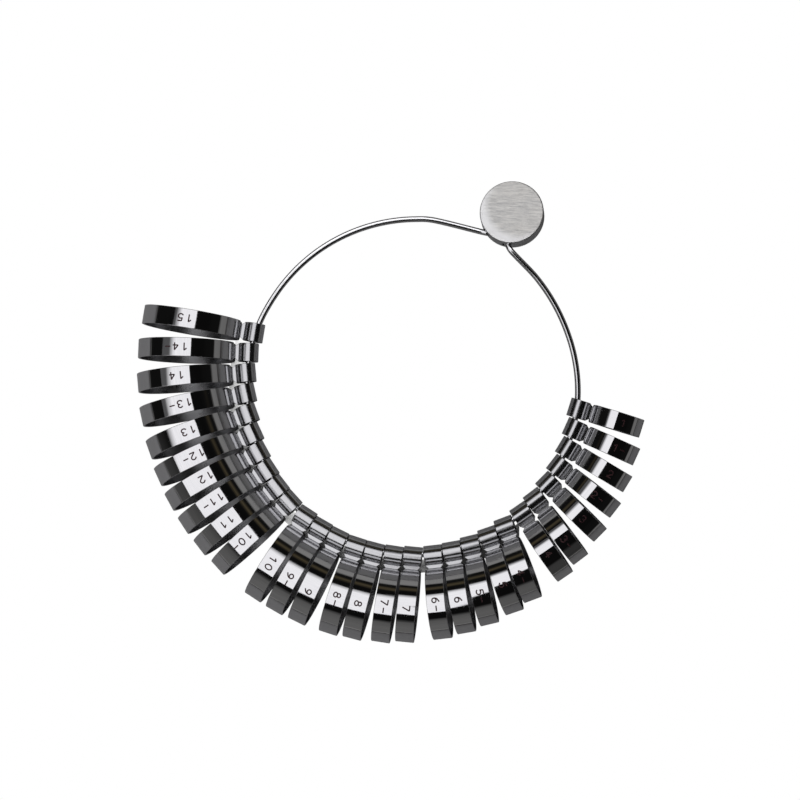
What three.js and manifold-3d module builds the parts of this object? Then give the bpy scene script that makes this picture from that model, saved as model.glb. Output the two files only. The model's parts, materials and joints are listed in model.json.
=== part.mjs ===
// Finger-size gauge set: 29 steel finger bands, sizes 15 down to 1 in half sizes, each hung by a
// small eyelet on one spring-wire hoop, with the hoop's two ends held in a round clasp.
// Millimetres, +Z up. The origin is the middle of the whole set's footprint on the table, z = 0 is
// the table, and -Y is the middle of the row of bands. Every band stands on its own rim with its
// finger hole level, and the stiff wire holds the clasp clear of the table.
import * as THREE from 'three';
import { mergeVertices } from 'three/addons/utils/BufferGeometryUtils.js';
import Module from 'manifold-3d';

// ---------- Driving dimensions ----------
const SIZE_FIRST = 15;
const SIZE_STEP = 0.5;
const BORE_AT_ZERO = 11.63; // inside diameter of ring size 0, US scale
const BORE_PER_SIZE = 0.8128; // growth of the inside diameter per whole size
const STRIP_WIDTH = 4.7; // along the finger
const STRIP_THICK = 0.6;
const EYE_DIA = 5.0; // outside diameter of the eyelet loop
const EYE_SHIFT = 0.4; // eyelet centre beyond the wire centre, towards the band
const NECK_LENGTH = 0.9; // between the eyelet and the band
const NECK_HALF = 0.65; // half thickness of the neck: the strip's two ends side by side
const NECK_FILLET = 0.2;
const NOTCH_DEPTH = 0.85; // V notch in each edge, where the neck meets the ring
const NOTCH_AT = 0.1; // middle of the notch, past where the ring's outside begins
const NOTCH_BAND_SIDE = 0.5;
const NOTCH_EYE_SIDE = 1.05;

const WIRE_RADIUS = 0.75;
const HOOP_RADIUS = 41.75; // wire centre line where it carries the bands
const FREE_SWELL = 0.7; // the free wire springs out this far past HOOP_RADIUS
const LEFT_OPENING = 1.75; // and this much further on its way to the clasp's left side
const RIGHT_OPENING = 0.8;
const WIRE_HEIGHT = 9.9; // of the wire above the table at the hoop's centre
const FALL_X = 2.7; // the wire comes down by this much towards +X at the hoop's radius
const RISE_Y = 0.7; // and goes up by this much towards +Y
const LEFT_DROP = 0.4; // the wire without bands comes down by this much before the clasp
const RIGHT_LIFT = 1.0; // and goes up by this much on the other side
const FIRST_BAND_ANGLE = 159.6; // where size 15 sits on the hoop, degrees from +X
const EYE_GAP = 0.08; // between the inner corners of neighbouring eyelets

// The bands lie in fans: count, direction of the fan's first band, turn from band to band, the
// first band's lean about its own length, and the change of lean from band to band, in degrees.
const FANS = [
  [5, 170.7, 7.4, 3.0, 0.6],
  [5, 205.1, 4.4, 5.2, -0.2],
  [3, 237.3, 3.4, 4.5, 0.0],
  [2, 252.4, 3.2, 4.3, 0.0],
  [2, 261.5, 3.1, 3.6, -0.3],
  [3, 276.6, 3.5, 6.0, -0.5],
  [2, 289.1, 1.8, 5.4, 0.2],
  [2, 304.6, 2.6, 3.2, 0.0],
  [5, 315.4, 6.8, 2.8, -0.7],
];

const DISC_RADIUS = 8.15;
const DISC_THICK = 5.0;
const DISC_EDGE = 0.35; // chamfer round both faces
const DISC_X = 25.55;
const DISC_Y = 45.15;
const DISC_HEIGHT = 8.6; // of the disc's centre above the table
const DISC_NORMAL = new THREE.Vector3(-0.1, 0.19, 0.977).normalize();
const BORE_RADIUS = 1.0; // side holes for the wire's ends
const FIXED_DEPTH = 6.4; // how far each wire end reaches past the rim
const FREE_DEPTH = 2.3;
const SCREW_RADIUS = 1.0;
const SCREW_HOLE_RADIUS = 1.3;
const SCREW_LENGTH = 1.0;
const SLOT_WIDTH = 0.4;
const SLOT_DEPTH = 0.4;

const RING_SIDES = 30;
const EYE_SIDES = 14;
const WIRE_SIDES = 10;
const WIRE_STEPS = 130;

// ---------- Helpers ----------
const rad = (degrees) => (degrees * Math.PI) / 180;
const wasm = await Module();
wasm.setup();

function solidOf(geometry) {
  const bare = geometry.index ? geometry.toNonIndexed() : geometry.clone();
  bare.deleteAttribute('normal');
  bare.deleteAttribute('uv');
  const merged = mergeVertices(bare, 1e-4);
  const mesh = new wasm.Mesh({
    numProp: 3,
    vertProperties: new Float32Array(merged.attributes.position.array),
    triVerts: new Uint32Array(merged.index.array),
  });
  return new wasm.Manifold(mesh);
}

function geometryOf(solid) {
  const mesh = solid.getMesh();
  const geometry = new THREE.BufferGeometry();
  geometry.setAttribute('position', new THREE.BufferAttribute(mesh.vertProperties, 3));
  geometry.setIndex(new THREE.BufferAttribute(mesh.triVerts, 1));
  geometry.computeVertexNormals();
  return geometry;
}

function cut(geometry, tools) {
  return geometryOf(tools.reduce((solid, tool) => solid.subtract(solidOf(tool)), solidOf(geometry)));
}

function arc(cx, cy, radius, from, to, steps) {
  const points = [];
  for (let i = 0; i <= steps; i += 1) {
    const a = from + ((to - from) * i) / steps;
    points.push(new THREE.Vector2(cx + radius * Math.cos(a), cy + radius * Math.sin(a)));
  }
  return points;
}

function circle(cx, cy, radius, sides) {
  return arc(cx, cy, radius, 0, 2 * Math.PI, sides).slice(0, -1);
}

function steel(color, roughness) {
  return new THREE.MeshStandardMaterial({ color, roughness, metalness: 1 });
}

// ---------- One band: ring, neck and eyelet as one keyhole strip ----------
// Local frame: the wire's centre is the origin, +X runs out along the band, +Y is the swing axis
// (towards the smaller neighbour) and +Z is up.
const eyeRadius = EYE_DIA / 2;
const rimStart = EYE_SHIFT + eyeRadius + NECK_LENGTH; // where the ring's outside begins
const eyeReach = eyeRadius - EYE_SHIFT; // from the wire's centre to the eyelet's inner end

const boreRadius = (size) => (BORE_AT_ZERO + BORE_PER_SIZE * size) / 2;
const rimRadius = (size) => boreRadius(size) + STRIP_THICK;

function keyholeOutline(size) {
  const ring = rimRadius(size);
  const centre = rimStart + ring;
  const high = NECK_HALF + NECK_FILLET;
  const ringX = centre - Math.sqrt((ring + NECK_FILLET) ** 2 - high ** 2);
  const eyeX = EYE_SHIFT + Math.sqrt((eyeRadius + NECK_FILLET) ** 2 - high ** 2);
  const ringTurn = Math.asin(high / (ring + NECK_FILLET));
  const eyeTurn = Math.asin(high / (eyeRadius + NECK_FILLET));
  return [
    ...arc(centre, 0, ring, -Math.PI + ringTurn, Math.PI - ringTurn, RING_SIDES),
    ...arc(ringX, high, NECK_FILLET, -ringTurn, -Math.PI / 2, 2).slice(1),
    ...arc(eyeX, high, NECK_FILLET, -Math.PI / 2, -Math.PI + eyeTurn, 2),
    ...arc(EYE_SHIFT, 0, eyeRadius, eyeTurn, 2 * Math.PI - eyeTurn, EYE_SIDES - 2).slice(1),
    ...arc(eyeX, -high, NECK_FILLET, Math.PI - eyeTurn, Math.PI / 2, 2).slice(1),
    ...arc(ringX, -high, NECK_FILLET, Math.PI / 2, ringTurn, 2).slice(0, -1),
  ];
}

function notch(side) {
  const edge = STRIP_WIDTH / 2;
  const apexX = rimStart + NOTCH_AT;
  const over = 1.2;
  const shape = new THREE.Shape([
    new THREE.Vector2(apexX, side * (edge - NOTCH_DEPTH)),
    new THREE.Vector2(apexX + NOTCH_BAND_SIDE * over, side * (edge + NOTCH_DEPTH * (over - 1))),
    new THREE.Vector2(apexX - NOTCH_EYE_SIDE * over, side * (edge + NOTCH_DEPTH * (over - 1))),
  ]);
  const height = 2 * (EYE_DIA - NECK_HALF);
  return new THREE.ExtrudeGeometry(shape, { depth: height, bevelEnabled: false })
    .translate(0, 0, -height / 2);
}

function bandGeometry(size) {
  const centre = rimStart + rimRadius(size);
  const shape = new THREE.Shape(keyholeOutline(size));
  shape.holes.push(new THREE.Path(circle(centre, 0, boreRadius(size), RING_SIDES)));
  shape.holes.push(new THREE.Path(circle(EYE_SHIFT, 0, eyeRadius - STRIP_THICK, EYE_SIDES)));
  const strip = new THREE.ExtrudeGeometry(shape, { depth: STRIP_WIDTH, bevelEnabled: false });
  strip.rotateX(Math.PI / 2).translate(0, STRIP_WIDTH / 2, 0);
  return cut(strip, [notch(1), notch(-1)]);
}

// ---------- The hoop ----------
const smooth = (t) => {
  const s = Math.min(1, Math.max(0, t));
  return s * s * (3 - 2 * s);
};
const ramp = (t, power) => Math.max(0, t) ** power;

function leftArc(angle) {
  return {
    swell: FREE_SWELL * smooth((190 - angle) / 38) + LEFT_OPENING * ramp((148 - angle) / 72, 1.2),
    lift: -LEFT_DROP * smooth((130 - angle) / 60),
  };
}

function rightArc(angle) {
  return {
    swell: FREE_SWELL * smooth((angle - 320) / 40) + RIGHT_OPENING * ramp((angle - 380) / 30, 1.6),
    lift: RIGHT_LIFT * smooth((angle - 365) / 50),
  };
}

function wirePoint(angle) {
  const { swell, lift } = angle < 255 ? leftArc(angle) : rightArc(angle);
  const r = HOOP_RADIUS + swell;
  const x = r * Math.cos(rad(angle));
  const y = r * Math.sin(rad(angle));
  const z = WIRE_HEIGHT - (FALL_X * x) / HOOP_RADIUS + (RISE_Y * y) / HOOP_RADIUS + lift;
  return new THREE.Vector3(x, y, z);
}

// ---------- Bands on the hoop ----------
// Neighbours are pushed together until the inner corners of their eyelets almost touch, so the
// step along the wire grows with the turn between them and with their skew to the wire.
const gauge = new THREE.Group();
const bandList = [];
for (const [count, first, turn, lean, leanStep] of FANS) {
  for (let i = 0; i < count; i += 1) {
    bandList.push({ heading: first + turn * i, lean: lean + leanStep * i });
  }
}

let place = FIRST_BAND_ANGLE;
bandList.forEach((band, i) => {
  if (i > 0) {
    const before = bandList[i - 1];
    const turn = band.heading - before.heading;
    const skew = (band.heading + before.heading) / 2 - place - 3.3;
    const step = (STRIP_WIDTH + EYE_GAP) / Math.cos(rad(skew)) + eyeReach * Math.tan(rad(turn));
    place += (step / HOOP_RADIUS) * (180 / Math.PI);
  }
  band.size = SIZE_FIRST - SIZE_STEP * i;
  band.place = place;
});

function bandName(size) {
  const whole = Math.floor(size);
  return `band_${String(whole).padStart(2, '0')}${size > whole ? '_half' : ''}`;
}

for (const band of bandList) {
  const ring = rimRadius(band.size);
  const at = wirePoint(band.place);
  const lean = rad(band.lean);
  const stand = ring * Math.cos(lean) + (STRIP_WIDTH / 2) * Math.sin(Math.abs(lean));
  const rise = Math.asin((stand - at.z) / (rimStart + ring)); // the rim comes down to the table
  const mesh = new THREE.Mesh(bandGeometry(band.size), steel(0xb9b9bb, 0.12));
  mesh.name = bandName(band.size);
  mesh.position.copy(at);
  mesh.rotation.set(lean, -rise, rad(band.heading), 'ZYX');
  gauge.add(mesh);
}

// ---------- Clasp: a flat round disc with a hole in its side for each end of the wire ----------
const half = DISC_THICK / 2;
const disc = new THREE.Group();
disc.position.set(DISC_X, DISC_Y, DISC_HEIGHT);
disc.quaternion.setFromUnitVectors(new THREE.Vector3(0, 0, 1), DISC_NORMAL);
disc.updateMatrixWorld(true);

// Each wire end in the disc's own frame: where its centre line crosses the rim, and its heading.
const freeHeading = new THREE.Vector3(0.975, -0.222, 0).normalize();
const fixedHeading = new THREE.Vector3(-0.42, 0.908, 0).normalize();
const freeMouth = new THREE.Vector3(-6.5, -4.75, 0);
const fixedMouth = new THREE.Vector3(-1.15, -7.95, 0);
const along = (mouth, heading, distance) => mouth.clone().addScaledVector(heading, distance);

function sideBore(mouth, heading, depth) {
  const length = depth + 3;
  const bore = new THREE.CylinderGeometry(BORE_RADIUS, BORE_RADIUS, length, 16);
  const turned = new THREE.Quaternion().setFromUnitVectors(new THREE.Vector3(0, 1, 0), heading);
  const centre = along(mouth, heading, depth - length / 2);
  return bore.applyQuaternion(turned).translate(centre.x, centre.y, centre.z);
}

const discProfile = [
  [0, -half],
  [DISC_RADIUS - DISC_EDGE, -half],
  [DISC_RADIUS, -half + DISC_EDGE],
  [DISC_RADIUS, half - DISC_EDGE],
  [DISC_RADIUS - DISC_EDGE, half],
  [0, half],
].map(([r, z]) => new THREE.Vector2(r, z));
const discBlank = new THREE.LatheGeometry(discProfile, 44).rotateX(Math.PI / 2);
const screwAt = along(fixedMouth, fixedHeading, 4.2);
const screwHole = new THREE.CylinderGeometry(SCREW_HOLE_RADIUS, SCREW_HOLE_RADIUS, half + 0.4, 16)
  .rotateX(Math.PI / 2)
  .translate(screwAt.x, screwAt.y, -(half + 0.4) / 2 - 0.4);
const claspDisc = new THREE.Mesh(
  cut(discBlank, [
    sideBore(fixedMouth, fixedHeading, FIXED_DEPTH + 0.4),
    sideBore(freeMouth, freeHeading, FREE_DEPTH + 0.4),
    screwHole,
  ]),
  steel(0xc9c8c5, 0.35),
);
claspDisc.name = 'clasp_disc';
disc.add(claspDisc);

// Set screw from the underside, bearing on the fixed end of the wire.
const screwTop = -WIRE_RADIUS - 0.3;
const screwBlank = new THREE.CylinderGeometry(SCREW_RADIUS, SCREW_RADIUS, SCREW_LENGTH, 20)
  .rotateX(Math.PI / 2);
const slot = new THREE.BoxGeometry(3 * SCREW_RADIUS, SLOT_WIDTH, SLOT_DEPTH)
  .translate(0, 0, -SCREW_LENGTH / 2 + SLOT_DEPTH / 2 - 0.01);
const setScrew = new THREE.Mesh(cut(screwBlank, [slot]), steel(0x6f7073, 0.3));
setScrew.name = 'clasp_set_screw';
setScrew.position.set(screwAt.x, screwAt.y, screwTop - SCREW_LENGTH / 2);
disc.add(setScrew);
gauge.add(disc);

// ---------- Spring wire ----------
// From the free end in the clasp, over the top and down the left, round under the bands, up the
// right and into the clasp again.
const inWorld = (v) => v.clone().applyMatrix4(disc.matrixWorld);
const path = [];
for (const s of [FREE_DEPTH, FREE_DEPTH / 2, 0, -1.2]) {
  path.push(inWorld(along(freeMouth, freeHeading, s)));
}
for (let angle = 84; angle <= 404; angle += 4) {
  path.push(wirePoint(angle));
}
for (const s of [-1.2, 0, FIXED_DEPTH / 3, (2 * FIXED_DEPTH) / 3, FIXED_DEPTH]) {
  path.push(inWorld(along(fixedMouth, fixedHeading, s)));
}
const centreLine = new THREE.CatmullRomCurve3(path, false, 'centripetal');
const wireSection = new THREE.Shape(circle(0, 0, WIRE_RADIUS, WIRE_SIDES));
const wire = new THREE.Mesh(
  new THREE.ExtrudeGeometry(wireSection, {
    steps: WIRE_STEPS,
    bevelEnabled: false,
    extrudePath: centreLine,
  }),
  steel(0xbdbdbf, 0.15),
);
wire.name = 'hoop_wire';
gauge.add(wire);

// ---------- Origin: the middle of the footprint, on the table ----------
const box = new THREE.Box3().setFromObject(gauge, true);
const middle = box.getCenter(new THREE.Vector3());
gauge.position.set(-middle.x, -middle.y, -box.min.z);
const group = new THREE.Group();
group.add(gauge);

export default group;
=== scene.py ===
"""Looks of a finger-size gauge set: 29 polished bands on a spring-wire hoop with a round clasp.

Lengths are in millimetres until they become Blender coordinates, which are in metres.
"""

import json
import math

import bmesh
import bpy
import numpy as np
from mathutils import Matrix, Vector


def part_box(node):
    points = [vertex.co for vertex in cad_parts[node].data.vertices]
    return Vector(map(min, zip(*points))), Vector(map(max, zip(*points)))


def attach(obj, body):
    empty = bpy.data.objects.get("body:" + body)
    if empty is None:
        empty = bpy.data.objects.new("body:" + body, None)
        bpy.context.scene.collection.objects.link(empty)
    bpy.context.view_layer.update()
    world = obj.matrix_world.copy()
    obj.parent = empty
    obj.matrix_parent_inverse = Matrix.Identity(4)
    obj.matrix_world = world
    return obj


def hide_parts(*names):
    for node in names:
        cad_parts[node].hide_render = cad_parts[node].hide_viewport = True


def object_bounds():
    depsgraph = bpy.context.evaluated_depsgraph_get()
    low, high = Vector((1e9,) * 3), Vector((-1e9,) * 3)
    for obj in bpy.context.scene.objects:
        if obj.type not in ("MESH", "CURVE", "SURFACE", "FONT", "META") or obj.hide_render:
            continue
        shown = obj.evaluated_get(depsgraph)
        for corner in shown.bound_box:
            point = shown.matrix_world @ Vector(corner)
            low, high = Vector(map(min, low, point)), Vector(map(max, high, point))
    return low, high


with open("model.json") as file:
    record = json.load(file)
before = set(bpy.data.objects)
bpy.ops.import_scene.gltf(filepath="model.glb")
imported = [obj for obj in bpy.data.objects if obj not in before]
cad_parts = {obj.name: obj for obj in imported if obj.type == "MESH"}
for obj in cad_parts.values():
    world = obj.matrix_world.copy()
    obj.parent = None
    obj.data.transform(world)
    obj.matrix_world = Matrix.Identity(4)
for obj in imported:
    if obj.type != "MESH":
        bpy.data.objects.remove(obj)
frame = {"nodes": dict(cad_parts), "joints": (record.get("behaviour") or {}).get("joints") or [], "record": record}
cad_low, cad_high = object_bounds()

MM = 0.001

# ---------- Driving dimensions, the same as the frame's ----------
BORE_AT_ZERO = 11.63  # inside diameter of ring size 0, US scale
BORE_PER_SIZE = 0.8128  # growth of the inside diameter per whole size
STRIP_WIDTH = 4.7  # along the finger
STRIP_THICK = 0.6
EYE_DIA = 5.0  # outside diameter of the eyelet loop
EYE_SHIFT = 0.4  # eyelet centre beyond the wire centre, towards the band
NECK_LENGTH = 0.9  # between the eyelet and the band
NECK_HALF = 0.65  # half thickness of the neck: the strip's two ends side by side
NECK_FILLET = 0.2
NOTCH_DEPTH = 0.85  # V notch in each edge, where the neck meets the ring
NOTCH_AT = 0.1  # middle of the notch, past where the ring's outside begins
NOTCH_BAND_SIDE = 0.5
NOTCH_EYE_SIDE = 1.05
WIRE_RADIUS = 0.75
DISC_RADIUS = 8.15
DISC_THICK = 5.0
DISC_EDGE = 0.35  # rounding of the disc's edges
BORE_RADIUS = 1.0  # of the clasp's two side bores
BORE_PAST_TIP = 0.4  # how far a bore goes on past the wire's end
BORE_TOOL_REACH = 14.0  # from the wire's end out past the clasp's rim
SCREW_RADIUS = 1.0
SCREW_LENGTH = 1.0
SCREW_CHAMFER = 0.12
SCREW_HOLE_RADIUS = 1.3
SCREW_HOLE_UP = 0.9  # from the screw's middle
SCREW_HOLE_DOWN = 3.0
SLOT_WIDTH = 0.4
SLOT_DEPTH = 0.4

# ---------- Details that only the looks have ----------
EDGE_ROUND = 0.12  # rounding of the strip's long edges
NECK_WEAR = 4.5  # how far past the neck the bending lines fade out
BAND_APART = 37  # shift of the polishing pattern for each size, so that no two bands match
INSIDE_APART = 20  # and the shift from the strip's outside to its inside
BEND_STEPS = 8
LANE_STEPS = 6
EYE_STEPS = 56
WIRE_SIDES = 40
WIRE_SPLITS = 4  # points for each span between the frame's rings of points
DISC_SIDES = 144
DISC_EDGE_STEPS = 6
SCREW_SIDES = 48

DIGIT_HEIGHT = 1.75
DIGIT_WIDTH = 1.25
DIGIT_PITCH = 2.25
HYPHEN_PITCH = 2.05
STROKE_WIDTH = 0.33
STROKE_DEPTH = 0.10
STROKE_PROUD = 0.012
STROKE_OVERRUN = 0.4  # how far a stroke goes past its end points, in stroke widths
STROKE_CORNER = 0.16
STROKE_STEP = 0.12

# Where each number's middle lies past the top of its ring, towards the band's outer end,
# from size 15 down
NUMBER_SHIFTS = (
    0.8, 1.45, 0.7, 0.05, -0.9, -0.55, -1.5, -0.25, -0.2, 0.1, -0.6, 0.35, 0.8, 0.0, -0.2,
    -0.4, 0.05, -0.4, -0.3, 0.7, 0.45, 1.3, 0.5, 1.8, 1.2, 1.2, 1.5, 1.5, 1.1,
)
NUMBER_SHIFT = {15 - k / 2: shift for k, shift in enumerate(NUMBER_SHIFTS)}

eye_radius = EYE_DIA / 2
rim_start = EYE_SHIFT + eye_radius + NECK_LENGTH
half_thick = STRIP_THICK / 2
half_disc = DISC_THICK / 2


# ---------- Mesh helpers ----------
def new_object(name, vertices, faces, material, smooth=True):
    mesh = bpy.data.meshes.new(name)
    mesh.from_pydata([tuple(v) for v in vertices], [], faces)
    mesh.update()
    mesh.materials.append(material)
    if smooth:
        mesh.shade_smooth()
    obj = bpy.data.objects.new(name, mesh)
    bpy.context.scene.collection.objects.link(obj)
    return obj


def object_from(shape, name):
    """A plain object made from a bmesh, which is then freed."""
    mesh = bpy.data.meshes.new(name)
    shape.to_mesh(mesh)
    shape.free()
    obj = bpy.data.objects.new(name, mesh)
    bpy.context.scene.collection.objects.link(obj)
    return obj


def loop_grid(rings, sides, closed):
    """Quads of a grid of rings, each with the same number of sides, whose outside faces out."""
    faces = []
    last = rings if closed else rings - 1
    for i in range(last):
        a, b = i * sides, ((i + 1) % rings) * sides
        for k in range(sides):
            n = (k + 1) % sides
            faces.append((a + k, a + n, b + n, b + k))
    return faces


def capped_grid(rings, sides):
    """The same grid as a tube that is closed by one flat face at each end."""
    faces = loop_grid(rings, sides, closed=False)
    last = (rings - 1) * sides
    faces.append(tuple(reversed(range(sides))))
    faces.append(tuple(last + k for k in range(sides)))
    return faces


def set_uv(mesh, coordinates):
    """Millimetres along and across a strip or a wire, for its material."""
    layer = mesh.uv_layers.new(name="strip")
    corner_vertex = np.zeros(len(mesh.loops), int)
    mesh.loops.foreach_get("vertex_index", corner_vertex)
    layer.data.foreach_set("uv", np.asarray(coordinates, np.float32)[corner_vertex].ravel())


def set_attribute(mesh, name, values):
    attribute = mesh.attributes.new(name, "FLOAT", "POINT")
    attribute.data.foreach_set("value", np.asarray(values, np.float32))


def tidy_normals(obj):
    mesh = bmesh.new()
    mesh.from_mesh(obj.data)
    bmesh.ops.recalc_face_normals(mesh, faces=mesh.faces)
    mesh.to_mesh(obj.data)
    mesh.free()


def frame_at(point, axis):
    return Matrix.Translation(point) @ Vector(axis).to_track_quat("Z", "Y").to_matrix().to_4x4()


def upright_frame(point, axis):
    """A frame whose z is the axis and whose x is as near as it can be to the world's x."""
    z = Vector(axis).normalized()
    x = (Vector((1, 0, 0)) - z * z.x).normalized()
    return Matrix.Translation(point) @ Matrix((x, z.cross(x), z)).transposed().to_4x4()


def cylinder_tool(radius, start, end):
    """A closed cylinder from start to end, in metres, to cut with."""
    shape = bmesh.new()
    bmesh.ops.create_cone(
        shape,
        cap_ends=True,
        segments=48,
        radius1=radius * MM,
        radius2=radius * MM,
        depth=(end - start).length,
        matrix=frame_at((start + end) / 2, end - start),
    )
    return object_from(shape, "bore_tool")


def cut_away(obj, tools):
    for tool in tools:
        modifier = obj.modifiers.new("cut", "BOOLEAN")
        modifier.operation = "DIFFERENCE"
        modifier.solver = "EXACT"
        modifier.object = tool
    graph = bpy.context.evaluated_depsgraph_get()
    mesh = bpy.data.meshes.new_from_object(obj.evaluated_get(graph))
    obj.modifiers.clear()
    obj.data = mesh
    for tool in tools:
        bpy.data.objects.remove(tool)


def lathe(profile, sides, place):
    """A turned solid from (radius, height) pairs that start and end on the axis."""
    vertices = [place @ Vector((0, 0, profile[0][1] * MM))]
    for r, z in profile[1:-1]:
        for k in range(sides):
            a = 2 * math.pi * k / sides
            vertices.append(place @ (Vector((r * math.cos(a), r * math.sin(a), z)) * MM))
    vertices.append(place @ Vector((0, 0, profile[-1][1] * MM)))
    faces = []
    last = len(vertices) - 1
    rings = len(profile) - 2
    for k in range(sides):
        n = (k + 1) % sides
        faces.append((0, 1 + n, 1 + k))
        for i in range(rings - 1):
            a, b = 1 + i * sides, 1 + (i + 1) * sides
            faces.append((a + k, a + n, b + n, b + k))
        top = 1 + (rings - 1) * sides
        faces.append((last, top + k, top + n))
    return vertices, faces


# ---------- The bands ----------
def size_of(node):
    return int(node[5:7]) + (0.5 if node.endswith("half") else 0.0)


def rim_radius(size):
    return (BORE_AT_ZERO + BORE_PER_SIZE * size) / 2 + STRIP_THICK


def band_frame(joint):
    """The band's own axes: out along the band, along its swing axis, and up, at the wire."""
    origin = Vector(joint["pos_m"])
    swing = -Vector(joint["axis"]).normalized()
    polygons = frame["nodes"][joint["child"]].data.polygons
    area = sum(p.area for p in polygons)
    centroid = sum((p.center * p.area for p in polygons), Vector()) / area
    out = centroid - origin
    out = (out - out.dot(swing) * swing).normalized()
    up = out.cross(swing)
    axes = Matrix((out, swing, up)).transposed().to_4x4()
    return Matrix.Translation(origin) @ axes


def strip_path(size):
    """Centre line of the folded strip, as points (x, z) and their outward normals."""
    ring = rim_radius(size)
    centre = rim_start + ring
    high = NECK_HALF + NECK_FILLET
    ring_turn = math.asin(high / (ring + NECK_FILLET))
    eye_turn = math.asin(high / (eye_radius + NECK_FILLET))
    ring_x = centre - math.sqrt((ring + NECK_FILLET) ** 2 - high**2)
    eye_x = EYE_SHIFT + math.sqrt((eye_radius + NECK_FILLET) ** 2 - high**2)
    bend = NECK_FILLET + half_thick
    points, normals = [], []

    def arc(cx, cz, radius, start, end, steps, side):
        for i in range(steps):
            a = start + (end - start) * i / steps
            points.append((cx + radius * math.cos(a), cz + radius * math.sin(a)))
            normals.append((side * math.cos(a), side * math.sin(a)))

    def straight(x0, x1, z, side):
        for i in range(LANE_STEPS):
            points.append((x0 + (x1 - x0) * i / LANE_STEPS, z))
            normals.append((0.0, side))

    ring_steps = 4 * round(ring * 2.0)  # about 0.4 mm apart
    lane = NECK_HALF - half_thick
    half_turn = math.pi
    arc(centre, 0, ring - half_thick, 0, half_turn - ring_turn, ring_steps, 1)
    arc(ring_x, high, bend, -ring_turn, -half_turn / 2, BEND_STEPS, -1)
    straight(ring_x, eye_x, lane, 1)
    arc(eye_x, high, bend, -half_turn / 2, -half_turn + eye_turn, BEND_STEPS, -1)
    arc(EYE_SHIFT, 0, eye_radius - half_thick, eye_turn, 2 * half_turn - eye_turn, EYE_STEPS, 1)
    arc(eye_x, -high, bend, half_turn - eye_turn, half_turn / 2, BEND_STEPS, -1)
    straight(eye_x, ring_x, -lane, -1)
    arc(ring_x, -high, bend, half_turn / 2, ring_turn, BEND_STEPS, -1)
    arc(centre, 0, ring - half_thick, half_turn + ring_turn, 2 * half_turn, ring_steps, 1)
    return np.array(points), np.array(normals)


def half_width(x):
    """Half the strip's width at x, with the V notch in each edge of the neck."""
    apex = rim_start + NOTCH_AT
    reach = np.where(x > apex, NOTCH_BAND_SIDE, NOTCH_EYE_SIDE)
    return STRIP_WIDTH / 2 - NOTCH_DEPTH * np.clip(1 - np.abs(x - apex) / reach, 0, 1)


def strip_section(corner_steps=4):
    """Round the strip's section: side of the width, side of the height, and the corner's normal."""
    section = []
    for sy, sh, start in ((1, 1, 90), (1, -1, 0), (-1, -1, -90), (-1, 1, -180)):
        for k in range(corner_steps + 1):
            a = math.radians(start - 90 * k / corner_steps)
            section.append((sy, sh, math.cos(a), math.sin(a)))
    return section


def make_band(joint, steel):
    node = joint["child"]
    size = size_of(node)
    place = band_frame(joint)
    rotation = place.to_3x3()
    points, normals = strip_path(size)
    width = half_width(points[:, 0])
    ahead, behind = np.roll(points, -1, axis=0), np.roll(points, 1, axis=0)
    slope = (np.roll(width, -1) - np.roll(width, 1)) / np.linalg.norm(ahead - behind, axis=1)
    steps = np.linalg.norm(ahead - points, axis=1)
    along = np.concatenate([[0], np.cumsum(steps)[:-1]])
    section = strip_section()
    vertices, vertex_normals, uv, neck = [], [], [], []
    for i, (x, z) in enumerate(points):
        nx, nz = normals[i]
        for sy, sh, cy, ch in section:
            y = sy * (width[i] - EDGE_ROUND) + EDGE_ROUND * cy
            h = sh * (half_thick - EDGE_ROUND) + EDGE_ROUND * ch
            vertices.append(place @ (Vector((x + nx * h, y, z + nz * h)) * MM))
            lean = -abs(cy) * slope[i]
            n = Vector((nx * ch - nz * lean, cy, nz * ch + nx * lean))
            vertex_normals.append((rotation @ n).normalized())
            uv.append((along[i] + BAND_APART * size, y + INSIDE_APART * (sh < 0)))
            neck.append(np.clip((rim_start + NECK_WEAR - x) / NECK_WEAR, 0, 1))
    faces = loop_grid(len(points), len(section), closed=True)
    band = new_object(node + "_strip", vertices, faces, steel)
    set_uv(band.data, uv)
    set_attribute(band.data, "neck", neck)
    band.data.normals_split_custom_set_from_vertices([tuple(n) for n in vertex_normals])
    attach(band, node)
    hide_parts(node)
    return place


# ---------- Engraved numbers ----------
def bow(cx, cy, rx, ry, start, end, steps=14):
    """An arc of an ellipse inside a digit's unit box, in degrees."""
    angles = [math.radians(start + (end - start) * i / steps) for i in range(steps + 1)]
    return [(cx + rx * math.cos(a), cy + ry * math.sin(a)) for a in angles]


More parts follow.
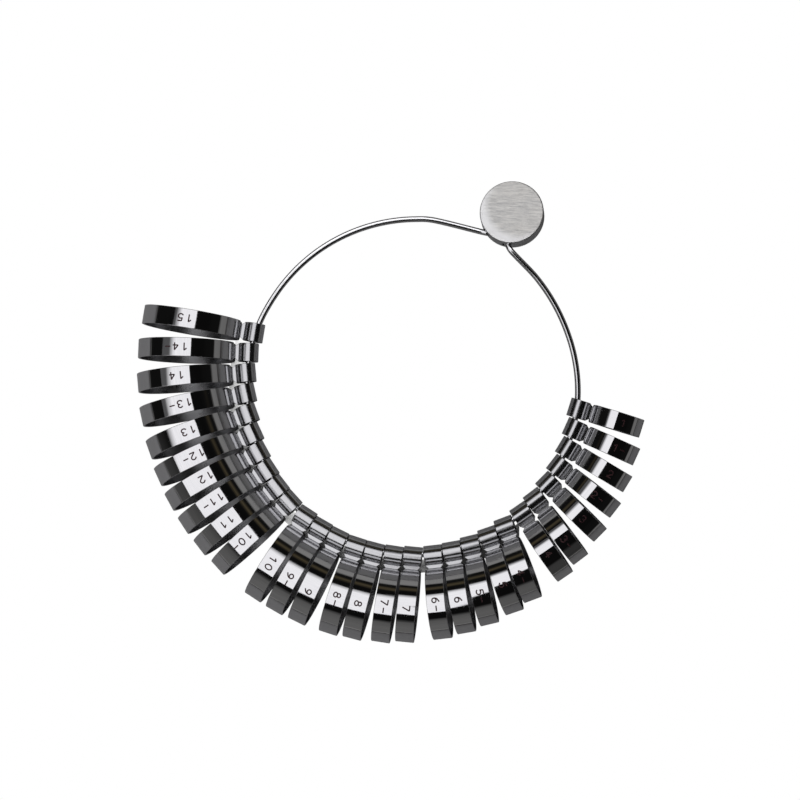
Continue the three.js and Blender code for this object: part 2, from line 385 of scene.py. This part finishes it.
DIGITS = {
    "0": [bow(0.5, 0.5, 0.5, 0.5, 90, 450, 28)],
    "1": [[(0.18, 0.74), (0.6, 1.0), (0.6, 0.0)]],
    "2": [bow(0.5, 0.72, 0.46, 0.28, 165, -35) + [(0.02, 0.0), (1.0, 0.0)]],
    "3": [bow(0.46, 0.76, 0.42, 0.24, 150, -80) + bow(0.46, 0.27, 0.5, 0.27, 80, -150)],
    "4": [[(0.72, 0.0), (0.72, 1.0), (0.0, 0.3), (1.0, 0.3)]],
    "5": [[(0.9, 1.0), (0.2, 1.0), (0.12, 0.56)] + bow(0.45, 0.32, 0.5, 0.32, 125, -145)],
    "6": [
        [(0.78, 1.0)]
        + bow(0.9, 0.35, 0.86, 0.6, 130, 175, 6)
        + bow(0.5, 0.3, 0.46, 0.3, 175, -185, 24)
    ],
    "7": [[(0.02, 1.0), (0.98, 1.0), (0.34, 0.0)]],
    "8": [bow(0.5, 0.76, 0.38, 0.24, -90, 270, 22), bow(0.5, 0.27, 0.48, 0.27, -90, 270, 26)],
    "9": [
        bow(0.5, 0.7, 0.46, 0.3, 355, -5, 24)
        + bow(0.1, 0.65, 0.86, 0.6, -5, -50, 6)
        + [(0.22, 0.0)]
    ],
    "-": [[(0.05, 0.5), (0.95, 0.5)]],
}

STROKE_PROFILE = (  # across the stroke in stroke widths, and height above the strip's face
    (-0.5, -STROKE_DEPTH),
    (0.5, -STROKE_DEPTH),
    (0.5, 0.0),
    (0.36, STROKE_PROUD),
    (-0.36, STROKE_PROUD),
    (-0.5, 0.0),
)


def rounded_stroke(points):
    """The stroke in mm with its sharp corners rounded off."""
    p = [np.array((x * DIGIT_WIDTH, y * DIGIT_HEIGHT)) for x, y in points]
    out = [p[0]]
    for a, b, c in zip(p, p[1:], p[2:]):
        before, after = a - b, c - b
        la, lc = np.linalg.norm(before), np.linalg.norm(after)
        nearly_straight = before @ after / (la * lc) < -0.9
        if nearly_straight:
            out.append(b)
            continue
        r = min(STROKE_CORNER, la / 2, lc / 2)
        start, end = b + before / la * r, b + after / lc * r
        for t in (0.0, 0.33, 0.67, 1.0):
            out.append((1 - t) ** 2 * start + 2 * t * (1 - t) * b + t**2 * end)
    out.append(p[-1])
    return even_steps(out, STROKE_STEP)


def even_steps(line, step):
    """The same line with points no further apart than step, so that it can follow a curved face."""
    fine = [line[0]]
    for a, b in zip(line, line[1:]):
        count = max(1, math.ceil(np.linalg.norm(b - a) / step))
        fine += [a + (b - a) * i / count for i in range(1, count + 1)]
    return np.array(fine)


def number_text(size):
    """The whole size, and a hyphen for the half."""
    return str(int(size)) + ("-" if size > int(size) else "")


def number_lines(size):
    """The number's strokes in mm, from the top of the ring outwards and across the strip."""
    text = number_text(size)
    pitches = [HYPHEN_PITCH if c == "-" else DIGIT_PITCH for c in text[1:]]
    left = NUMBER_SHIFT[size] - (sum(pitches) + DIGIT_WIDTH) / 2
    lines = []
    for k, character in enumerate(text):
        corner = np.array((left + sum(pitches[:k]), -DIGIT_HEIGHT / 2))
        lines += [rounded_stroke(stroke) + corner for stroke in DIGITS[character]]
    return lines


def stroke_vertices(line, ring, place):
    """One stroke's points, laid round the ring's crown."""
    ahead = np.vstack([line[1:], line[-1:]])
    behind = np.vstack([line[:1], line[:-1]])
    way = ahead - behind
    way /= np.linalg.norm(way, axis=1)[:, None]
    line[0] -= way[0] * STROKE_WIDTH * STROKE_OVERRUN
    line[-1] += way[-1] * STROKE_WIDTH * STROKE_OVERRUN
    vertices = []
    for point, (way_x, way_y) in zip(line, way):
        side = np.array((-way_y, way_x))
        for offset, height in STROKE_PROFILE:
            along, across = point + side * offset * STROKE_WIDTH
            angle = math.pi / 2 - along / ring
            x = rim_start + ring + (ring + height) * math.cos(angle)
            z = (ring + height) * math.sin(angle)
            vertices.append(place @ (Vector((x, across, z)) * MM))
    return vertices


def make_number(joint, place, ink):
    """The band's size as thin dark strokes let into its crown, read from the neck outwards."""
    node = joint["child"]
    size = size_of(node)
    vertices, faces = [], []
    for line in number_lines(size):
        base = len(vertices)
        vertices += stroke_vertices(line, rim_radius(size), place)
        for face in capped_grid(len(line), len(STROKE_PROFILE)):
            faces.append(tuple(base + v for v in face))
    number = new_object(node + "_number", vertices, faces, ink, smooth=False)
    tidy_normals(number)
    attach(number, node)


# ---------- The wire ----------
def ring_middles(points, reach):
    """The middle of each group of points that are linked by steps shorter than reach."""
    left = [Vector(p) for p in sorted(points)]
    middles = []
    while left:
        ring = [left.pop()]
        grown = 0
        while grown < len(ring):
            near = [v for v in left if (v - ring[grown]).length < reach]
            left = [v for v in left if (v - ring[grown]).length >= reach]
            ring += near
            grown += 1
        middles.append(sum(ring, Vector()) / len(ring))
    return middles


def chain_from(start, points):
    """All the points in a row from start, each time going on to the nearest one left."""
    rest = [p for p in points if p is not start]
    chain = [start]
    while rest:
        nearest = min(rest, key=lambda p: (p - chain[-1]).length)
        rest.remove(nearest)
        chain.append(nearest)
    return chain


def chain_length(chain):
    return sum((b - a).length for a, b in zip(chain, chain[1:]))


def wire_centres():
    """Centre line of the frame's wire: the middles of its rings of points, from end to end."""
    skin = {tuple(round(c, 6) for c in v.co) for v in frame["nodes"]["hoop_wire"].data.vertices}
    reach = WIRE_RADIUS * MM * 0.8  # more than a ring's own steps, less than from ring to ring
    centres = ring_middles(skin, reach)
    clasp = (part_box("clasp_disc")[0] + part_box("clasp_disc")[1]) / 2
    near_clasp = sorted(centres, key=lambda c: (c - clasp).length)[:4]
    # Only a chain that starts at a true end has no jump in it, so it is the shortest
    return min((chain_from(start, centres) for start in near_clasp), key=chain_length)


def smooth_line(points, per_span):
    """A Catmull-Rom line through the points."""
    p = [points[0] * 2 - points[1], *points, points[-1] * 2 - points[-2]]
    line = []
    for a, b, c, d in zip(p, p[1:], p[2:], p[3:]):
        for i in range(per_span):
            t = i / per_span
            straight = 2 * b + (c - a) * t
            bend = (2 * a - 5 * b + 4 * c - d) * t**2 + (3 * b - a - 3 * c + d) * t**3
            line.append(0.5 * (straight + bend))
    line.append(p[-2])
    return line


def make_wire(line, steel):
    tangents = [(b - a).normalized() for a, b in zip(line, line[1:])]
    tangents.append(tangents[-1])
    vertices, uv = [], []
    along = 0.0
    for i, (point, tangent) in enumerate(zip(line, tangents)):
        if i:
            along += (point - line[i - 1]).length / MM
        across = Vector((0, 0, 1)).cross(tangent).normalized()
        up = tangent.cross(across)
        for k in range(WIRE_SIDES):
            a = 2 * math.pi * k / WIRE_SIDES
            n = across * math.cos(a) + up * math.sin(a)
            vertices.append(point + n * WIRE_RADIUS * MM)
            uv.append((along, WIRE_RADIUS * a))
    wire = new_object("spring_wire", vertices, capped_grid(len(line), WIRE_SIDES), steel)
    tidy_normals(wire)
    set_uv(wire.data, uv)
    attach(wire, "hoop")
    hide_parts("hoop_wire")
    return wire


# ---------- The clasp ----------
def disc_profile():
    """The disc's section from axis to axis, with both edges rounded."""
    profile = [(0, -half_disc)]
    for side, start in ((-1, -90), (1, 0)):
        for k in range(DISC_EDGE_STEPS + 1):
            a = math.radians(start + 90 * k / DISC_EDGE_STEPS)
            r = DISC_RADIUS - DISC_EDGE + DISC_EDGE * math.cos(a)
            profile.append((r, side * (half_disc - DISC_EDGE) + DISC_EDGE * math.sin(a)))
    profile.append((0, half_disc))
    return profile


def clasp_tools(line, screw_middle, axis):
    """Cutters for the bores that hold the wire's two ends, and for the set screw's hole."""
    tools = []
    # Each bore follows the wire's direction over its first few points
    for tip, nearby in ((line[0], line[6]), (line[-1], line[-8])):
        way = (nearby - tip).normalized()
        start = tip - way * BORE_PAST_TIP * MM
        tools.append(cylinder_tool(BORE_RADIUS, start, tip + way * BORE_TOOL_REACH * MM))
    top = screw_middle + axis * SCREW_HOLE_UP * MM
    bottom = screw_middle - axis * SCREW_HOLE_DOWN * MM
    tools.append(cylinder_tool(SCREW_HOLE_RADIUS, top, bottom))
    return tools


def turned_normal(v):
    """Normal of the turned disc at a point of its skin, in its own frame and in mm."""
    flat_height = half_disc - DISC_EDGE
    r = math.hypot(v.x, v.y)
    outward = Vector((v.x, v.y, 0)).normalized() if r > 1e-6 else Vector()
    if abs(v.z) <= flat_height + 1e-4:
        return outward
    if r <= DISC_RADIUS - DISC_EDGE + 1e-4:
        return Vector((0, 0, math.copysign(1, v.z)))
    corner = Vector((0, 0, math.copysign(flat_height, v.z)))
    return (v - outward * (DISC_RADIUS - DISC_EDGE) - corner).normalized()


def on_skin(v):
    """Whether a point is on the turned surface, and not inside a bore."""
    return math.hypot(v.x, v.y) > DISC_RADIUS - 1e-2 or abs(abs(v.z) - half_disc) < DISC_EDGE


def mark_disc_normals(disc, place):
    """True normals of the turned disc at every corner, so that the cuts leave no shading marks."""
    mesh = disc.data
    mesh.shade_smooth()
    back = place.inverted()
    turn = place.to_3x3()
    back_turn = turn.transposed()
    normals = []
    for polygon in mesh.polygons:
        face_normal = back_turn @ polygon.normal
        for index in polygon.vertices:
            v = (back @ mesh.vertices[index].co) / MM
            n = turned_normal(v)
            on_a_cut = not on_skin(v) or n.dot(face_normal) < 0.8
            if on_a_cut:
                n = face_normal
            normals.append(tuple(turn @ n))
    mesh.normals_split_custom_set(normals)


def make_clasp(place, axis, line, screw_middle, steel):
    vertices, faces = lathe(disc_profile(), DISC_SIDES, place)
    disc = new_object("clasp_body", vertices, faces, steel)
    tidy_normals(disc)
    cut_away(disc, clasp_tools(line, screw_middle, axis))
    mark_disc_normals(disc, place)
    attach(disc, "hoop")
    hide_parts("clasp_disc")
    return disc


def make_screw(middle, axis, steel):
    """Slotted headless screw, which can only be seen from underneath."""
    place = frame_at(middle, axis)
    half = SCREW_LENGTH / 2
    profile = [
        (0, -half),
        (SCREW_RADIUS - SCREW_CHAMFER, -half),
        (SCREW_RADIUS, -half + SCREW_CHAMFER),
        (SCREW_RADIUS, half - SCREW_CHAMFER),
        (SCREW_RADIUS - SCREW_CHAMFER, half),
        (0, half),
    ]
    vertices, faces = lathe(profile, SCREW_SIDES, place)
    body = new_object("set_screw", vertices, faces, steel, smooth=False)
    tidy_normals(body)
    blade = bmesh.new()
    blade_size = (3 * SCREW_RADIUS * MM, SLOT_WIDTH * MM, 2 * SLOT_DEPTH * MM, 1)
    bmesh.ops.create_cube(blade, size=1.0, matrix=Matrix.Diagonal(blade_size))
    blade.transform(place @ Matrix.Translation((0, 0, -half * MM)))
    cut_away(body, [object_from(blade, "slot_tool")])
    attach(body, "set_screw")
    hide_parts("clasp_set_screw")


# ---------- Materials ----------
class Nodes:
    """A short way to write a node tree."""

    def __init__(self, tree):
        self.tree = tree

    def add(self, kind, inputs=None, **settings):
        node = self.tree.nodes.new("ShaderNode" + kind)
        for key, value in settings.items():
            setattr(node, key, value)
        for key, value in (inputs or {}).items():
            self.put(node, key, value)
        return node

    def put(self, node, key, value):
        if isinstance(value, bpy.types.NodeSocket):
            self.tree.links.new(value, node.inputs[key])
        else:
            node.inputs[key].default_value = value

    def math(self, operation, a, b=0.0, clamp=False):
        node = self.add("Math", {0: a, 1: b}, operation=operation, use_clamp=clamp)
        return node.outputs[0]

    def parts(self, vector):
        return self.add("SeparateXYZ", {0: vector}).outputs

    def scaled(self, vector, scale):
        return self.add("Mapping", {"Vector": vector, "Scale": scale}).outputs[0]

    def noise(self, vector, scale, detail=3.0, roughness=0.55):
        inputs = {"Vector": vector, "Scale": scale, "Detail": detail, "Roughness": roughness}
        return self.add("TexNoise", inputs).outputs["Fac"]

    def spread(self, value, low, high, new_low, new_high):
        inputs = {0: value, 1: low, 2: high, 3: new_low, 4: new_high}
        return self.add("MapRange", inputs).outputs[0]

    def mixed(self, amount, first, second):
        """Two colours mixed. Each is a socket, or three numbers."""
        inputs = {0: amount, 1: first, 2: second}
        for key in (1, 2):
            if isinstance(inputs[key], tuple):
                inputs[key] = (*inputs[key], 1)
        return self.add("MixRGB", inputs).outputs[0]

    def bump(self, height, distance, normal=None):
        node = self.add("Bump", {"Height": height, "Distance": distance, "Strength": 1.0})
        if normal is not None:
            self.put(node, "Normal", normal)
        return node.outputs[0]


class PieceMaterial(Nodes):
    """The node tree of a piece, round one Principled shader."""

    def __init__(self, name):
        self.material = bpy.data.materials.new(name)
        self.material.use_nodes = True
        super().__init__(self.material.node_tree)
        self.shader = self.tree.nodes["Principled BSDF"]

    def finish(self, colour, roughness, normal=None, metallic=1.0):
        self.put(self.shader, "Base Color", colour)
        self.put(self.shader, "Metallic", metallic)
        self.put(self.shader, "Roughness", roughness)
        if normal is not None:
            self.put(self.shader, "Normal", normal)
        return self.material


def band_steel():
    """Mirror-polished strip with bending and polishing lines across it, strongest at the neck.

    The strip's inside is duller and darker than its outside.
    """
    n = PieceMaterial("band_steel")
    uv = n.add("UVMap", uv_map="strip").outputs[0]
    neck = n.add("Attribute", attribute_name="neck").outputs["Fac"]
    outside = n.math("LESS_THAN", n.parts(uv)[1], INSIDE_APART / 2)
    bends = n.noise(n.scaled(uv, (1.0, 0.012, 1.0)), 0.95, 1.0, 0.5)
    bending = n.math("MULTIPLY", outside, n.spread(neck, 0, 1, 0.12, 0.8))
    normal = n.bump(n.math("MULTIPLY", bends, bending), 75e-6)
    lines = n.noise(n.scaled(uv, (1.0, 0.05, 1.0)), 2.6, 1.5, 0.6)
    patches = n.noise(n.scaled(uv, (1.0, 0.5, 1.0)), 0.16, 1.0, 0.5)
    patches = n.math("MULTIPLY", n.spread(patches, 0.45, 0.62, 0.25, 1.0), outside)
    streaks = n.math("MULTIPLY", patches, n.spread(neck, 0, 1, 0.6, 1.3))
    normal = n.bump(n.math("MULTIPLY", lines, streaks), 11e-6, normal)
    smudge = n.noise(n.add("TexCoord").outputs["Object"], 90.0, 4.0, 0.6)
    smudge = n.spread(smudge, 0.35, 0.7, 0.03, 0.08)
    roughness = n.math("ADD", smudge, n.spread(neck, 0, 1, 0.0, 0.14))
    roughness = n.math("ADD", roughness, n.spread(outside, 0, 1, 0.22, 0.0))
    tint = n.spread(lines, 0.35, 0.65, 0, 1)
    tint = n.mixed(tint, (0.71, 0.71, 0.725), (0.755, 0.75, 0.76))
    worn = n.mixed(neck, tint, (0.6, 0.6, 0.615))
    colour = n.mixed(outside, (0.42, 0.42, 0.43), worn)
    return n.finish(colour, roughness, normal)


def number_ink():
    """The engraving's dull red-brown floor."""
    n = PieceMaterial("number_engraving")
    mottle = n.noise(n.add("TexCoord").outputs["Object"], 1500.0, 3.0, 0.6)
    tint = n.spread(mottle, 0.35, 0.65, 0, 1)
    tint = n.mixed(tint, (0.045, 0.016, 0.02), (0.15, 0.07, 0.075))
    roughness = n.spread(mottle, 0.3, 0.7, 0.4, 0.65)
    n.put(n.shader, "Specular IOR Level", 0.3)
    return n.finish(tint, roughness, n.bump(mottle, 20e-6), metallic=0.0)


def wire_steel():
    """Bright drawn wire, with faint draw lines along it."""
    n = PieceMaterial("wire_steel")
    uv = n.add("UVMap", uv_map="strip").outputs[0]
    drawn = n.noise(n.scaled(uv, (0.02, 1.0, 1.0)), 2.0, 1.0, 0.5)
    return n.finish((0.70, 0.70, 0.71, 1), n.spread(drawn, 0.3, 0.7, 0.10, 0.15))


def clasp_steel(place):
    """Satin face brushed straight across, with a painted highlight as a bright crescent at its front left, and a
    polished rim.
    """
    n = PieceMaterial("clasp_steel")
    back = place.inverted()
    moved = {"Location": back.translation, "Rotation": back.to_euler()}
    moved["Vector"] = n.add("TexCoord").outputs["Object"]
    local = n.scaled(n.add("Mapping", moved).outputs[0], (1 / MM, 1 / MM, 1 / MM))
    top = n.math("GREATER_THAN", n.math("ABSOLUTE", n.parts(local)[2]), half_disc - 0.12)
    brushing = {"Vector": local, "Rotation": (0, 0, math.radians(4))}
    turned = n.add("Mapping", brushing).outputs[0]
    brushed = n.noise(n.scaled(turned, (0.11, 1.0, 1.0)), 3.4, 6.0, 0.75)
    cloud = n.noise(local, 0.16, 3.0, 0.5)
    tone = n.math("ADD", n.math("MULTIPLY", brushed, 0.75), n.math("MULTIPLY", cloud, 0.25))
    tone = n.spread(tone, 0.38, 0.62, 0, 1)
    tint = n.mixed(tone, (0.46, 0.46, 0.455), (0.83, 0.815, 0.78))
    # Painted highlight: the face's colour is lifted to near white in a crescent along its front left edge
    tint = n.mixed(worn_edge(n, local, brushed), tint, (0.97, 0.97, 0.975))
    colour = n.mixed(top, (0.48, 0.48, 0.49), tint)
    satin = n.spread(cloud, 0.3, 0.7, 0.36, 0.48)
    gloss = n.math("ADD", n.math("MULTIPLY", top, n.math("SUBTRACT", satin, 0.14)), 0.14)
    normal = n.bump(n.math("MULTIPLY", brushed, top), 14e-6)
    return n.finish(colour, gloss, normal)


def worn_edge(n, local, brushed):
    """Strength of the painted highlight on the clasp's face: a bright crescent along its front left edge, ragged
    with brushing.
    """
    flat = n.scaled(local, (1.0, 1.0, 0.0))
    radius = n.add("VectorMath", {0: flat}, operation="LENGTH").outputs["Value"]
    lean = {0: flat, 1: (-0.75, -0.66, 0.0)}
    corner = n.add("VectorMath", lean, operation="DOT_PRODUCT").outputs["Value"]
    reach = n.math("ADD", radius, n.math("MULTIPLY", corner, 0.4))
    reach = n.math("ADD", reach, n.math("MULTIPLY", brushed, 1.5))
    return n.spread(reach, 7.5, 9.9, 0.0, 0.8)


def screw_steel():
    """Dark, slightly grainy steel."""
    n = PieceMaterial("screw_steel")
    grain = n.noise(n.add("TexCoord").outputs["Object"], 1800.0, 4.0, 0.6)
    tint = n.mixed(grain, (0.22, 0.22, 0.23), (0.42, 0.42, 0.43))
    return n.finish(tint, n.spread(grain, 0.3, 0.7, 0.25, 0.4), n.bump(grain, 8e-6))


# ---------- Studio: pale floor, one large soft light overhead, dark surroundings ----------
CAMERA_AIM = (2.07, 3.13)  # the camera looks straight down on this point of the table
CAMERA_HEIGHT = 609.5
CAMERA_LENS = 105.84  # on a 36 mm sensor
LIGHT_HEIGHT = 0.4  # the sizes of the lights and the floor are in metres
LIGHT_OUTLINE = (
    (-0.60, -0.21), (-0.03, -0.21), (-0.03, -0.01), (0.03, 0.035), (0.06, 0.09), (0.105, 0.25),
    (-0.34, 0.25), (-0.34, 0.125), (-0.60, 0.115),
)
LIGHT_STRENGTH = 1.12
LIGHT_FADED = 0.1
FADE_FROM = 0.16  # the softbox begins to fade at this y
FADE_TO = 0.26
CORNER_FROM = -0.1  # and to the left of this x it fades sooner
CORNER_SLOPE = 0.7
LIGHT_COLOUR = (0.985, 0.98, 1.0)
REAR_PANEL = ((-0.315, 0.52), (0.87, 0.86))  # middle, and size
SIDE_PANEL = ((0.22, 0.40), (0.20, 0.44))
WIRE_RADIANCE = 1.9
CLASP_RADIANCE = 1.0
FLOOR_SIZE = 6.0
FLOOR_GREY = 0.65  # as reflected in the steel
WALL_TOPS = (1.0, 17.0)  # of the low walls, front left and rear right, in degrees
WALL_GREY = 0.16
REAR_WALL_GREY = 0.24
STRIPE_HEIGHT = 32.0  # of the middle of the rear wall's olive stripe, in degrees
STRIPE_FADE = 7.0
GAP_DARK = 0.38  # share of open sky over a spot of floor where its shade is full
GAP_OPEN = 0.50  # and where it has no shade
NECK_REACH = 3.7  # from the wire out to the middle of the notches, mm
NECK_SHADE_HALF = 1.7
GAP_REACH = 0.014  # how far the floor looks round for pieces above it, in metres
FROM_ABOVE = 0.9  # least upward part of a line of sight that counts as from straight above
WIDE_GAPS_FROM = 33.0  # to the right of this x the gaps are wide and stay white, mm


def stage_material(name):
    """An empty material, its nodes and its output."""
    material = bpy.data.materials.new(name)
    material.use_nodes = True
    n = Nodes(material.node_tree)
    n.tree.nodes.clear()
    return material, n, n.add("OutputMaterial")


def hoop_circle():
    """Centre and radius of the circle through the bands' places on the wire, seen from above."""
    spots = np.array([j["pos_m"][:2] for j in frame["joints"] if j["child"].startswith("band_")])
    rows = np.column_stack([2 * spots, np.ones(len(spots))])
    x, y, rest = np.linalg.lstsq(rows, (spots**2).sum(axis=1), rcond=None)[0]
    return (x, y), math.sqrt(rest + x * x + y * y)


def under_necks(n):
    """1 on the ring of floor under the necks, where the painted shade goes, when it is seen from straight above,
    and else 0.
    """
    (x, y), radius = hoop_circle()
    place = n.add("NewGeometry").outputs["Position"]
    distance = {0: n.scaled(place, (1, 1, 0)), 1: (x, y, 0)}
    reach = n.add("VectorMath", distance, operation="DISTANCE").outputs["Value"]
    past = n.math("ABSOLUTE", n.math("SUBTRACT", reach, radius + NECK_REACH * MM))
    towards_eye = n.parts(n.add("NewGeometry").outputs["Incoming"])[2]
    from_above = n.math("GREATER_THAN", towards_eye, FROM_ABOVE)
    ring = n.math("MULTIPLY", n.math("LESS_THAN", past, NECK_SHADE_HALF * MM), from_above)
    narrow_gaps = n.math("LESS_THAN", n.parts(place)[0], WIDE_GAPS_FROM * MM)
    return n.math("MULTIPLY", ring, narrow_gaps)


def make_floor():
    """White for the camera, with painted shade in the gaps between the necks, and grey in reflections."""
    material, n, output = stage_material("floor_paper")
    # Painted shade: to the camera the floor is an emission, dimmed by ambient occlusion in the narrow gaps under
    # the necks
    crevice = n.add("AmbientOcclusion", {"Distance": GAP_REACH}, samples=40).outputs["AO"]
    shade = n.spread(crevice, GAP_DARK, GAP_OPEN, 0.02, 1.0)
    shaded = n.add("Emission", {"Strength": shade}).outputs[0]
    white = n.add("Emission", {"Strength": 1.0}).outputs[0]
    seen = n.add("MixShader", {0: under_necks(n), 1: white, 2: shaded}).outputs[0]
    paper = n.add("BsdfDiffuse", {"Color": (FLOOR_GREY, FLOOR_GREY, FLOOR_GREY, 1)}).outputs[0]
    to_camera = n.add("LightPath").outputs["Is Camera Ray"]
    n.put(output, 0, n.add("MixShader", {0: to_camera, 1: paper, 2: seen}).outputs[0])
    s = FLOOR_SIZE / 2
    z = cad_low.z - 0.1 * MM
    corners = [(-s, -s, z), (s, -s, z), (s, s, z), (-s, s, z)]
    new_object("floor", corners, [(0, 1, 2, 3)], material)


def make_light():
    """Large softbox that fades towards its rear edge and its far rear left corner."""
    material, n, output = stage_material("softbox")
    place = n.parts(n.add("TexCoord").outputs["Object"])
    leftwards = n.math("MAXIMUM", n.math("SUBTRACT", CORNER_FROM, place[0]), 0.0)
    rearwards = n.math("ADD", place[1], n.math("MULTIPLY", leftwards, CORNER_SLOPE))
    strength = n.spread(rearwards, FADE_FROM, FADE_TO, LIGHT_STRENGTH, LIGHT_FADED)
    glow = n.add("Emission", {"Color": (*LIGHT_COLOUR, 1), "Strength": strength})
    n.put(output, 0, glow.outputs[0])
    vertices = [(x, y, LIGHT_HEIGHT) for x, y in LIGHT_OUTLINE]
    softbox = new_object("softbox", vertices, [tuple(range(len(vertices)))], material)
    softbox.visible_camera = False


def make_panel(name, place, size, radiance, piece):
    """A panel on the softbox's level that lights one piece only."""
    panel = bpy.data.lights.new(name, "AREA")
    panel.shape = "RECTANGLE"
    panel.size, panel.size_y = size
    panel.energy = radiance * math.pi * panel.size * panel.size_y
    panel.color = LIGHT_COLOUR
    lamp = bpy.data.objects.new(name, panel)
    lamp.location = (*place, LIGHT_HEIGHT)
    lamp.visible_camera = False
    bpy.context.scene.collection.objects.link(lamp)
    lit = bpy.data.collections.new("lit_by_" + name)
    lit.objects.link(piece)
    lamp.light_linking.receiver_collection = lit


def low_walls(n, way, height):
    """Brightness of the low walls, which are taller and paler towards the rear and the right."""
    rear_right = n.math("ADD", n.math("MULTIPLY", way[0], 0.7), n.math("MULTIPLY", way[1], 0.7))
    wall_top = n.spread(rear_right, -0.3, 0.5, *WALL_TOPS)
    grey = n.spread(way[1], 0.2, 0.8, WALL_GREY, REAR_WALL_GREY)
    return n.spread(n.math("SUBTRACT", wall_top, height), -2.0, 2.0, 0.0, grey)


def front_wall(n, way, height):
    """Brightness of the dim wall in front and a little to the left, which fades out upwards."""
    level = n.math("SQRT", n.math("SUBTRACT", 1.0, n.math("MULTIPLY", way[2], way[2])))
    left, front = n.math("MULTIPLY", way[0], -0.35), n.math("MULTIPLY", way[1], -0.94)
    towards = n.math("DIVIDE", n.math("ADD", left, front), level)
    wall = n.spread(towards, 0.5, 0.9, 0.002, 0.13)
    wall = n.math("MULTIPLY", wall, n.spread(height, 20.0, 44.0, 1.0, 0.7))
    return n.math("MULTIPLY", wall, n.spread(height, 38.0, 47.0, 1.0, 0.0))


def rear_stripe(n, way, height):
    """Strength of a soft olive stripe along the rear wall."""
    rear = n.spread(way[1], 0.3, 0.6, 0.0, 1.0)
    away = n.math("ABSOLUTE", n.math("SUBTRACT", height, STRIPE_HEIGHT))
    stripe = n.math("SUBTRACT", 1.0, n.math("DIVIDE", away, STRIPE_FADE), clamp=True)
    return n.math("MULTIPLY", rear, stripe)


def make_world():
    """White backdrop for the camera. In reflections it is a dark room with some pale walls."""
    world = bpy.data.worlds.new("studio")
    bpy.context.scene.world = world
    world.use_nodes = True
    n = Nodes(world.node_tree)
    n.tree.nodes.clear()
    output = n.add("OutputWorld")
    way = n.parts(n.add("TexCoord").outputs["Generated"])
    height = n.math("DEGREES", n.math("ARCSINE", way[2]))
    grey = n.math("ADD", low_walls(n, way, height), front_wall(n, way, height))
    grey = n.math("ADD", grey, 0.004)
    walls = n.add("Background", {"Color": (1.0, 0.99, 0.97, 1), "Strength": grey}).outputs[0]
    olive = {"Color": (0.060, 0.048, 0.026, 1), "Strength": rear_stripe(n, way, height)}
    stripe = n.add("Background", olive).outputs[0]
    room = n.add("AddShader", {0: walls, 1: stripe}).outputs[0]
    white = n.add("Background", {"Color": (1, 1, 1, 1), "Strength": 1.0}).outputs[0]
    to_camera = n.add("LightPath").outputs["Is Camera Ray"]
    n.put(output, 0, n.add("MixShader", {0: to_camera, 1: room, 2: white}).outputs[0])


def make_camera():
    camera = bpy.data.cameras.new("camera")
    camera.lens = CAMERA_LENS
    camera.sensor_width = 36.0
    camera.clip_start = 0.05
    camera.clip_end = 10.0
    eye = bpy.data.objects.new("camera", camera)
    eye.location = (CAMERA_AIM[0] * MM, CAMERA_AIM[1] * MM, CAMERA_HEIGHT * MM)
    bpy.context.scene.collection.objects.link(eye)
    bpy.context.scene.camera = eye


# ---------- The whole scene ----------
steel = band_steel()
ink = number_ink()
for joint in frame["joints"]:
    if joint["child"].startswith("band_"):
        place = make_band(joint, steel)
        make_number(joint, place, ink)

line = smooth_line(wire_centres(), WIRE_SPLITS)
wire = make_wire(line, wire_steel())

top_face = frame["record"]["mounts"][0]
disc_axis = Vector(top_face["axis"]).normalized()
disc_place = upright_frame(Vector(top_face["pos_m"]) - disc_axis * half_disc * MM, disc_axis)
screw_joint = [j for j in frame["joints"] if j["child"] == "set_screw"][0]
screw_middle = Vector(screw_joint["pos_m"])
disc = make_clasp(disc_place, disc_axis, line, screw_middle, clasp_steel(disc_place))
make_screw(screw_middle, disc_axis, screw_steel())

make_floor()
make_light()
make_panel("wire_rear", *REAR_PANEL, WIRE_RADIANCE, wire)
make_panel("wire_side", *SIDE_PANEL, WIRE_RADIANCE, wire)
make_panel("clasp_rear", *REAR_PANEL, CLASP_RADIANCE, disc)
make_world()
make_camera()
bpy.context.scene.view_settings.view_transform = "Standard"
